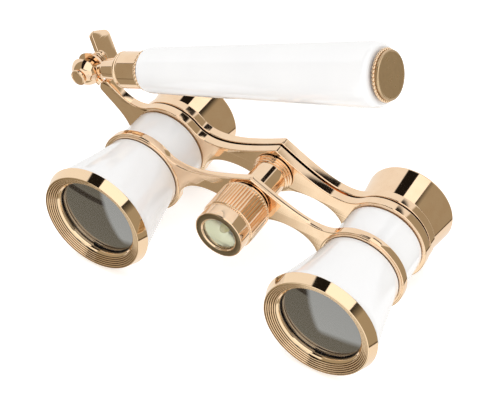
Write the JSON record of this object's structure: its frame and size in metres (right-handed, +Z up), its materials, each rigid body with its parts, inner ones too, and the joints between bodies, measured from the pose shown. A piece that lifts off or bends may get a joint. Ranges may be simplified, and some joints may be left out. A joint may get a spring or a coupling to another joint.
{
  "type": "opera glasses",
  "caption": "Theatre binoculars with white barrels, gold bridges, a torch in the centre focusing wheel and a tapered side handle on a clamped hinge, folded over the top.",
  "frame": {"origin": "middle of the outer box at its lowest level, which is the underside of the two objective bezels", "axes": "+X across the two barrels towards the one without the handle's arm, +Y from the objectives to the eyepieces along the optical axes, +Z up"},
  "size_m": [0.1144, 0.0516, 0.0736],
  "materials": {
    "gold_plate": "polished pale gold plate on brass",
    "white_enamel": "glossy white enamel with a faint pearl figure",
    "coated_glass": "polished glass with a thin anti-reflection coating",
    "clear_plastic": "clear polished lens over the lamp",
    "black_metal": "matt black",
    "steel": "turned steel",
    "black_plastic": "moulded black",
    "reflector": "bright aluminised bowl",
    "led_resin": "clear yellow resin",
    "circuit_board": "lacquered board"
  },
  "bodies": {
    "frame": {"objective_bezel_left": "gold_plate", "objective_lens_left": "coated_glass", "lens_retainer_left": "black_metal", "front_barrel_left": "white_enamel", "rear_barrel_left": "white_enamel", "barrel_tube_left": "black_metal", "objective_bezel_right": "gold_plate", "objective_lens_right": "coated_glass", "lens_retainer_right": "black_metal", "front_barrel_right": "white_enamel", "rear_barrel_right": "white_enamel", "barrel_tube_right": "black_metal", "front_bridge": "gold_plate", "middle_bridge": "gold_plate", "hub_sleeve": "gold_plate", "front_bush": "gold_plate", "hinge_fork": "gold_plate", "pivot_nut": "gold_plate"},
    "eyepieces": {"rear_bridge": "gold_plate", "focus_rod": "steel", "hub_screw": "gold_plate", "draw_tube_left": "gold_plate", "eyecup_left": "gold_plate", "ocular_lens_left": "coated_glass", "ocular_retainer_left": "black_metal", "draw_tube_right": "gold_plate", "eyecup_right": "gold_plate", "ocular_lens_right": "coated_glass", "ocular_retainer_right": "black_metal"},
    "wheel": {"focus_wheel": "gold_plate", "focus_spindle": "steel", "spindle_collar": "steel", "battery_sleeve": "black_plastic", "battery_cell_front": "steel", "battery_cell_rear": "steel"},
    "torch": {"torch_head": "gold_plate", "torch_lens": "clear_plastic", "torch_reflector": "reflector", "torch_led": "led_resin", "torch_board": "circuit_board"},
    "handle": {"hinge_tongue": "gold_plate", "ferrule": "gold_plate", "ferrule_bead": "gold_plate", "handle_tube": "white_enamel", "tie_rod": "steel", "cap_bead": "gold_plate", "end_cap": "gold_plate"},
    "clamp": {"clamp_lever": "gold_plate", "pivot_screw": "steel", "lever_washer": "gold_plate"}
  },
  "joints": [
    {"name": "focus_turn", "type": "hinge", "parent": "frame", "child": "wheel", "pos_m": [0.00855, -0.0132, 0.02284], "axis": [0, 1, 0], "range_deg": [-25, 422]},
    {"name": "focus_slide", "type": "slide", "parent": "frame", "child": "eyepieces", "axis": [0, 1, 0], "range_m": [-0.0004, 0.007]},
    {"name": "torch_twist", "type": "hinge", "parent": "wheel", "child": "torch", "pos_m": [0.00855, -0.0175, 0.02284], "axis": [0, 1, 0], "range_deg": [0, 40]},
    {"name": "handle_fold", "type": "hinge", "parent": "frame", "child": "handle", "pos_m": [-0.05131, 0.0113, 0.02944], "axis": [0, -1, 0], "range_deg": [-2, 235]},
    {"name": "clamp_turn", "type": "hinge", "parent": "frame", "child": "clamp", "pos_m": [-0.05131, 0.0113, 0.02944], "axis": [0, -1, 0], "range_deg": [0, 75]}
  ],
  "couplings": [
    {"joint": "focus_turn", "follows": "focus_slide", "rad_per_m": 1047.2}
  ]
}
